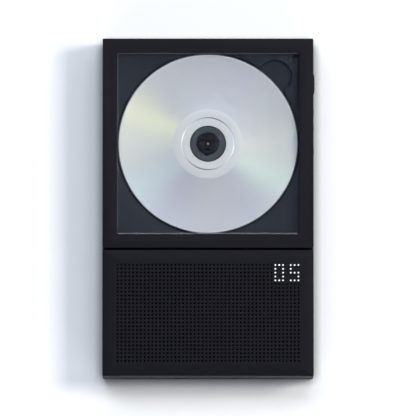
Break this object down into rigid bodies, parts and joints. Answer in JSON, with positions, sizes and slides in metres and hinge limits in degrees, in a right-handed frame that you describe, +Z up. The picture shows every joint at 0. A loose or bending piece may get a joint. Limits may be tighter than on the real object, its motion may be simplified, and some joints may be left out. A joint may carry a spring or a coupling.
{
  "type": "wall mounted cd player",
  "caption": "Flat wall mounted disc player: square windowed door over a spinning disc and its pickup drive, perforated speaker front below, side controls, hook-on wall bracket.",
  "frame": {"origin": "on the wall plane, at the middle of the wall bracket's four screw holes, behind the middle of the disc", "axes": "+Z up, +X to the right seen from the front, -Y out from the wall towards the viewer, +Y into the wall"},
  "size_m": [0.141, 0.033, 0.2246],
  "materials": {
    "case_plastic": "fine spark-eroded matt, charcoal",
    "front_plastic": "fine matt, charcoal",
    "deck_plastic": "satin, dark slate",
    "clear_pane": "clear, polished",
    "disc": "mirror layer under clear polycarbonate",
    "hub_plastic": "satin",
    "rubber": "matt",
    "control_plastic": "satin",
    "zinc_steel": "zinc plated, satin",
    "pressed_steel": "pressed and plated",
    "ground_steel": "ground",
    "magnet": "nickel plated",
    "gear_plastic": "natural acetal",
    "sled_metal": "die cast, dark",
    "lens_plastic": "satin",
    "lens_glass": "coated, polished",
    "board": "solder mask",
    "jack_plastic": "satin",
    "cell_wrap": "wrapped cell",
    "light_lit": "lit diffusing pin",
    "light_dark": "unlit diffusing pin",
    "basket_steel": "black, pressed",
    "ferrite": "sintered",
    "paper_cone": "doped paper"
  },
  "bodies": {
    "wall_bracket": {"wall_bracket": "zinc_steel"},
    "case": {"housing": "case_plastic", "back_cover": "case_plastic", "case_screws": "zinc_steel", "rubber_pads": "rubber", "deck": "deck_plastic", "body_magnet": "magnet", "hinge_pins": "ground_steel", "drive_chassis": "pressed_steel", "chassis_grommets": "rubber", "chassis_screws": "zinc_steel", "spindle_motor": "pressed_steel", "main_rail": "ground_steel", "plain_rail": "ground_steel", "sled_motor": "pressed_steel", "battery": "cell_wrap", "side_board": "board", "main_board": "board", "usb_socket": "pressed_steel", "headphone_jack": "jack_plastic", "speaker_frame": "case_plastic", "speaker_grille": "front_plastic", "display_board": "board", "light_pins_lit": "light_lit", "light_pins_dark": "light_dark", "speaker_basket_left": "basket_steel", "speaker_basket_right": "basket_steel", "speaker_magnet_left": "ferrite", "speaker_magnet_right": "ferrite", "speaker_surround_left": "rubber", "speaker_surround_right": "rubber", "speaker_screws": "zinc_steel"},
    "door": {"door_frame": "front_plastic", "door_window": "clear_pane", "door_magnet": "magnet"},
    "disc_hub": {"compact_disc": "disc", "turntable_hub": "hub_plastic", "grip_ring": "rubber", "motor_shaft": "ground_steel"},
    "claw_low": {"hub_claw_low": "hub_plastic"},
    "claw_right": {"hub_claw_right": "hub_plastic"},
    "claw_left": {"hub_claw_left": "hub_plastic"},
    "sled": {"pickup_sled": "sled_metal", "sled_rack": "gear_plastic"},
    "lens": {"lens_holder": "lens_plastic", "pickup_lens": "lens_glass"},
    "idler": {"idler_gear": "gear_plastic"},
    "pinion": {"pinion_gear": "gear_plastic"},
    "left_cone": {"speaker_cone_left": "paper_cone"},
    "right_cone": {"speaker_cone_right": "paper_cone"},
    "jog_carrier": {"jog_carrier": "control_plastic"},
    "jog_lever": {"jog_lever": "control_plastic"},
    "volume_up": {"volume_up_button": "control_plastic"},
    "volume_down": {"volume_down_button": "control_plastic"},
    "power": {"power_button": "control_plastic"}
  },
  "joints": [
    {"name": "player_lift", "type": "slide", "parent": "wall_bracket", "child": "case", "axis": [0, 0, 1], "range_m": [0, 0.007]},
    {"name": "door_hinge", "type": "hinge", "parent": "case", "child": "door", "pos_m": [-0.0682, -0.0275, 0], "axis": [0, 0, -1], "range_deg": [0, 105]},
    {"name": "disc_spin", "type": "hinge", "parent": "case", "child": "disc_hub", "pos_m": [0, -0.0268, 0], "axis": [0, -1, 0], "continuous": true},
    {"name": "claw_low_spring", "type": "slide", "parent": "disc_hub", "child": "claw_low", "axis": [0.1219, 0, 0.9925], "range_m": [0, 0.0009], "stiffness_N_per_m": 400, "springref_m": -0.0006},
    {"name": "claw_right_spring", "type": "slide", "parent": "disc_hub", "child": "claw_right", "axis": [-0.9205, 0, -0.3907], "range_m": [0, 0.0009], "stiffness_N_per_m": 400, "springref_m": -0.0006},
    {"name": "claw_left_spring", "type": "slide", "parent": "disc_hub", "child": "claw_left", "axis": [0.7986, 0, -0.6018], "range_m": [0, 0.0009], "stiffness_N_per_m": 400, "springref_m": -0.0006},
    {"name": "sled_travel", "type": "slide", "parent": "case", "child": "sled", "axis": [0, 0, -1], "range_m": [0, 0.034]},
    {"name": "idler_spin", "type": "hinge", "parent": "case", "child": "idler", "pos_m": [0.0255, -0.014, -0.03], "axis": [0, -1, 0], "range_deg": [-2, 655]},
    {"name": "pinion_spin", "type": "hinge", "parent": "case", "child": "pinion", "pos_m": [0.03363, -0.013, -0.02187], "axis": [0, -1, 0], "range_deg": [-2350, 5]},
    {"name": "lens_focus", "type": "slide", "parent": "sled", "child": "lens", "axis": [0, -1, 0], "range_m": [-0.0005, 0.0005], "stiffness_N_per_m": 50},
    {"name": "left_cone_travel", "type": "slide", "parent": "case", "child": "left_cone", "axis": [0, -1, 0], "range_m": [-0.0008, 0.0008], "stiffness_N_per_m": 1500, "deforming": ["speaker_surround_left"]},
    {"name": "right_cone_travel", "type": "slide", "parent": "case", "child": "right_cone", "axis": [0, -1, 0], "range_m": [-0.0008, 0.0008], "stiffness_N_per_m": 1500, "deforming": ["speaker_surround_right"]},
    {"name": "jog_press", "type": "slide", "parent": "case", "child": "jog_carrier", "axis": [-1, 0, 0], "range_m": [0, 0.0005], "stiffness_N_per_m": 800, "springref_m": -0.0004},
    {"name": "jog_rock", "type": "hinge", "parent": "jog_carrier", "child": "jog_lever", "pos_m": [0.066, -0.016, 0.0408], "axis": [0, -1, 0], "range_deg": [-5, 5], "stiffness_Nm_per_rad": 0.02},
    {"name": "volume_up_press", "type": "slide", "parent": "case", "child": "volume_up", "axis": [-1, 0, 0], "range_m": [0, 0.0005], "stiffness_N_per_m": 800, "springref_m": -0.0004},
    {"name": "volume_down_press", "type": "slide", "parent": "case", "child": "volume_down", "axis": [-1, 0, 0], "range_m": [0, 0.0005], "stiffness_N_per_m": 800, "springref_m": -0.0004},
    {"name": "power_press", "type": "slide", "parent": "case", "child": "power", "axis": [-1, 0, 0], "range_m": [0, 0.0005], "stiffness_N_per_m": 800, "springref_m": -0.0004}
  ],
  "couplings": [
    {"joint": "idler_spin", "follows": "sled_travel", "rad_per_m": 333.33},
    {"joint": "pinion_spin", "follows": "sled_travel", "rad_per_m": -1200}
  ]
}
